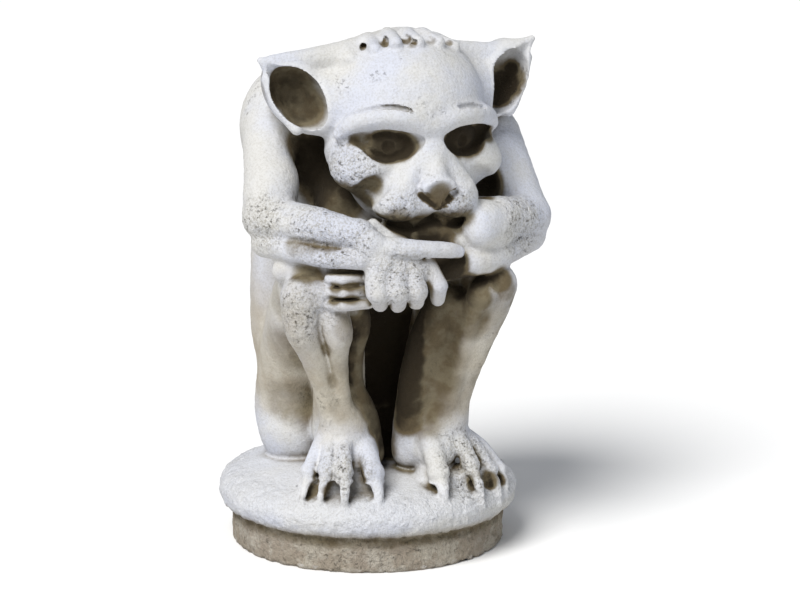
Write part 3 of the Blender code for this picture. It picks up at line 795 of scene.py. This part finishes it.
# The stone
def stone_material():
    material = bpy.data.materials.new("cast_stone_with_wear_and_painted_shade")
    material.use_nodes = True
    nodes, links = material.node_tree.nodes, material.node_tree.links
    shader = nodes["Principled BSDF"]
    shader.inputs["Metallic"].default_value = 0.0
    shader.inputs["Specular IOR Level"].default_value = 0.25
    place = nodes.new("ShaderNodeTexCoord").outputs["Object"]

    def node(kind, **inputs):
        made = nodes.new(kind)
        for key, value in inputs.items():
            made.inputs[key.replace("_", " ")].default_value = value
        return made

    def noise(scale, detail=3.0, roughness=0.6):
        made = node("ShaderNodeTexNoise", Scale=scale, Detail=detail, Roughness=roughness)
        links.new(place, made.inputs["Vector"])
        return made.outputs["Fac"]

    def ramp(source, low, high, start=0.0, end=1.0):
        made = nodes.new("ShaderNodeMapRange")
        made.interpolation_type = "SMOOTHSTEP"
        for key, value in (("From Min", low), ("From Max", high), ("To Min", start), ("To Max", end)):
            made.inputs[key].default_value = value
        links.new(source, made.inputs["Value"])
        return made.outputs["Result"]

    def math_node(kind, a, b):
        made = nodes.new("ShaderNodeMath")
        made.operation = kind
        for socket, value in zip(made.inputs, (a, b)):
            if isinstance(value, (int, float)):
                socket.default_value = value
            else:
                links.new(value, socket)
        return made.outputs[0]

    def mixed(factor, a, b):
        made = nodes.new("ShaderNodeMix")
        made.data_type = "RGBA"
        sockets = [s for s in made.inputs if s.enabled]
        for socket, value in zip(sockets, (factor, a, b)):
            if isinstance(value, tuple):
                socket.default_value = (*value, 1.0)
            else:
                links.new(value, socket)
        return [s for s in made.outputs if s.enabled][0]

    def stored(name):
        made = nodes.new("ShaderNodeAttribute")
        made.attribute_name = name
        return made.outputs["Fac"]

    def times(a, b):
        return math_node("MULTIPLY", a, b)

    def plus(a, b):
        return math_node("ADD", a, b)

    axis = nodes.new("ShaderNodeSeparateXYZ")
    links.new(place, axis.inputs[0])
    height = axis.outputs["Z"]
    crevice, sheltered, edge = stored("crevice"), stored("shelter"), stored("edge_wear")
    shade_and_soil, pitted, rim = stored("shade_and_soil"), stored("pitted"), stored("rim")
    blotch = math_node("SUBTRACT", noise(38, 4), 0.5)

    pale = mixed(ramp(noise(14, 4), 0.35, 0.65), STONE_COOL, STONE_WARM)
    # Browner towards the bottom of the figure, pale again on the feet
    low_down = times(ramp(plus(height, times(blotch, 0.08)), *LOW_BROWN_TOP),
                     ramp(plus(height, times(blotch, 0.03)), *LOW_BROWN_FOOT))
    warm = mixed(ramp(noise(45, 4), 0.35, 0.65), LOW_BROWN_DARK, LOW_BROWN_PALE)
    pale = mixed(times(low_down, 0.85), pale, warm)
    slab_top = times(ramp(height, *SLAB_LOWER), ramp(height, *SLAB_UPPER))
    pale = mixed(times(slab_top, 0.7), pale, SLAB_WHITE)
    # The drum is browner and darker than the slab
    drum = ramp(height, *DRUM_UPPER)
    drum_brown = mixed(ramp(noise(55, 4, 0.7), 0.42, 0.60), DRUM_DARK, DRUM_PALE)
    pale = mixed(times(drum, 0.85), pale, drum_brown)
    pitted = math_node("MINIMUM", plus(pitted, times(drum, 0.8)), 1.0)
    speckle = times(ramp(noise(620, 3, 0.7), 0.46, 0.62), plus(0.22, times(pitted, 0.35)))
    pale = mixed(speckle, pale, GRAIN_SPECK)

    # Painted shade with real stains: darker in crevices, where less light reaches, in the shade and soil
    # patches and in random blotches; the deepest hollows are painted near black
    shade_and_stain = plus(times(crevice, 0.4), times(sheltered, 0.9))
    shade_and_stain = plus(shade_and_stain, times(shade_and_soil, 0.85))
    shade_and_stain = plus(shade_and_stain, times(blotch, 0.55))
    # Painted shadow under the slab's lip
    lip_shadow = times(ramp(height, *LIP_SHADOW_TOP), ramp(height, *LIP_SHADOW_FOOT))
    shade_and_stain = plus(shade_and_stain, times(lip_shadow, 0.7))
    brown = mixed(ramp(noise(60, 3), 0.4, 0.6), DIRT_AND_SHADE_DARK, DIRT_AND_SHADE_PALE)
    skin = mixed(ramp(shade_and_stain, 0.24, 1.1), pale, brown)
    skin = mixed(ramp(shade_and_stain, 1.1, 1.65), skin, DIRT_AND_DEEP_SHADE)
    worn = times(ramp(edge, 0.25, 0.7), ramp(shade_and_soil, 0.6, 0.2))
    skin = mixed(times(worn, 0.4), skin, STONE_RUBBED)
    stray = times(ramp(noise(30, 3), 0.58, 0.70), 0.5)
    where = plus(stray, times(pitted, ramp(noise(70, 3), 0.36, 0.54)))
    # Small pits, painted dark for the dirt in them and the shade inside them
    hole = times(ramp(noise(300, 5, 0.75), 0.56, 0.65), math_node("MINIMUM", where, 1.0))
    skin = mixed(times(hole, 0.8), skin, PIT_DIRT_AND_SHADE)
    links.new(skin, shader.inputs["Base Color"])
    links.new(ramp(noise(90, 3), 0.3, 0.7, 0.86, 0.98), shader.inputs["Roughness"])

    bump = nodes.new("ShaderNodeBump")
    bump.inputs["Strength"].default_value = 0.85
    bump.inputs["Distance"].default_value = 0.0014
    coarse = plus(0.7, plus(pitted, times(rim, 1.2)))
    relief = plus(times(noise(330, 4, 0.65), coarse), times(noise(900, 2), 0.3))
    relief = plus(relief, times(noise(190, 4, 0.7), plus(0.5, times(plus(rim, pitted), 1.5))))
    relief = math_node("SUBTRACT", relief, times(hole, 0.9))
    links.new(relief, bump.inputs["Height"])
    links.new(bump.outputs["Normal"], shader.inputs["Normal"])
    return material


def floor_material():
    material = bpy.data.materials.new("pale_floor")
    material.use_nodes = True
    shader = material.node_tree.nodes["Principled BSDF"]
    shader.inputs["Base Color"].default_value = FLOOR_COLOUR
    shader.inputs["Roughness"].default_value = 0.9
    return material


# The picture
def add_statue():
    clay = modelled()
    points, faces = netted(clay.field, clay.low, clay.step)
    points = grained(points, face_normals(points, faces))
    points[points[:, 2] < 1 - STANCE_HEIGHT, 2] = -STANCE_HEIGHT
    mesh = quad_mesh("cast_stone_gargoyle", points, faces)
    statue = bpy.data.objects.new("cast_stone_gargoyle", mesh)
    bpy.context.scene.collection.objects.link(statue)
    thin = statue.modifiers.new("thin", "DECIMATE")
    thin.ratio = min(1.0, PIECE_TRIANGLES / (2 * len(faces)))
    thin.use_collapse_triangulate = True
    mesh = settled(statue)
    wear_and_shade_values(clay, mesh)
    place = Matrix.Translation((FIGURE_OFFSET_X * MM, 0, STANCE_HEIGHT * MM))
    mesh.transform(place @ Matrix.Diagonal((MM, MM, MM, 1)))
    points = vertex_arrays(mesh)[0]
    mesh.vertices.foreach_set("co", np.clip(points, CAD_BOX[0], CAD_BOX[1]).astype(np.float32).ravel())
    mesh.shade_smooth()
    mesh.materials.clear()
    mesh.materials.append(stone_material())
    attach(statue, "root")
    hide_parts("gargoyle_statue")


def add_floor():
    mesh = bpy.data.meshes.new("floor")
    corners = ((-1, -1), (1, -1), (1, 1), (-1, 1))
    mesh.from_pydata([(x * FLOOR_HALF, y * FLOOR_HALF, -FLOOR_DROP) for x, y in corners], [], [(0, 1, 2, 3)])
    mesh.materials.append(floor_material())
    floor = bpy.data.objects.new("floor", mesh)
    bpy.context.scene.collection.objects.link(floor)


def add_light(name, place, energy, size, colour):
    light = bpy.data.lights.new(name, "AREA")
    light.energy = energy
    light.size = size
    light.color = colour
    lamp = bpy.data.objects.new(name, light)
    lamp.location = place
    lamp.rotation_mode = "QUATERNION"
    lamp.rotation_quaternion = (Vector(CAMERA_AIM) - Vector(place)).to_track_quat("-Z", "Y")
    bpy.context.scene.collection.objects.link(lamp)


def add_sun(name, towards, strength, width, colour):
    """A far soft light that comes from the given direction."""
    light = bpy.data.lights.new(name, "SUN")
    light.energy = strength
    light.angle = math.radians(width)
    light.color = colour
    lamp = bpy.data.objects.new(name, light)
    lamp.rotation_mode = "QUATERNION"
    lamp.rotation_quaternion = Vector(towards).to_track_quat("Z", "Y")
    bpy.context.scene.collection.objects.link(lamp)


def add_lights():
    add_sun("key", KEY_TOWARDS, KEY_STRENGTH, KEY_WIDTH, KEY_COLOUR)
    add_light("fill", FILL_PLACE, FILL_POWER, FILL_SIZE, FILL_COLOUR)
    world = bpy.data.worlds.new("studio")
    world.use_nodes = True
    shade = world.node_tree.nodes["Background"]
    shade.inputs["Color"].default_value = SKY_COLOUR
    shade.inputs["Strength"].default_value = SKY_STRENGTH
    bpy.context.scene.world = world
    bpy.context.scene.view_settings.view_transform = "Standard"


def add_camera():
    eye = Vector(CAMERA_EYE)
    camera = bpy.data.cameras.new("camera")
    camera.sensor_width = 36.0
    camera.lens = CAMERA_LENS
    camera.shift_x, camera.shift_y = CAMERA_SHIFT
    view = bpy.data.objects.new("camera", camera)
    view.location = eye
    view.rotation_mode = "QUATERNION"
    view.rotation_quaternion = (Vector(CAMERA_AIM) - eye).to_track_quat("-Z", "Y")
    bpy.context.scene.collection.objects.link(view)
    bpy.context.scene.camera = view


add_camera()
add_lights()
add_floor()
add_statue()
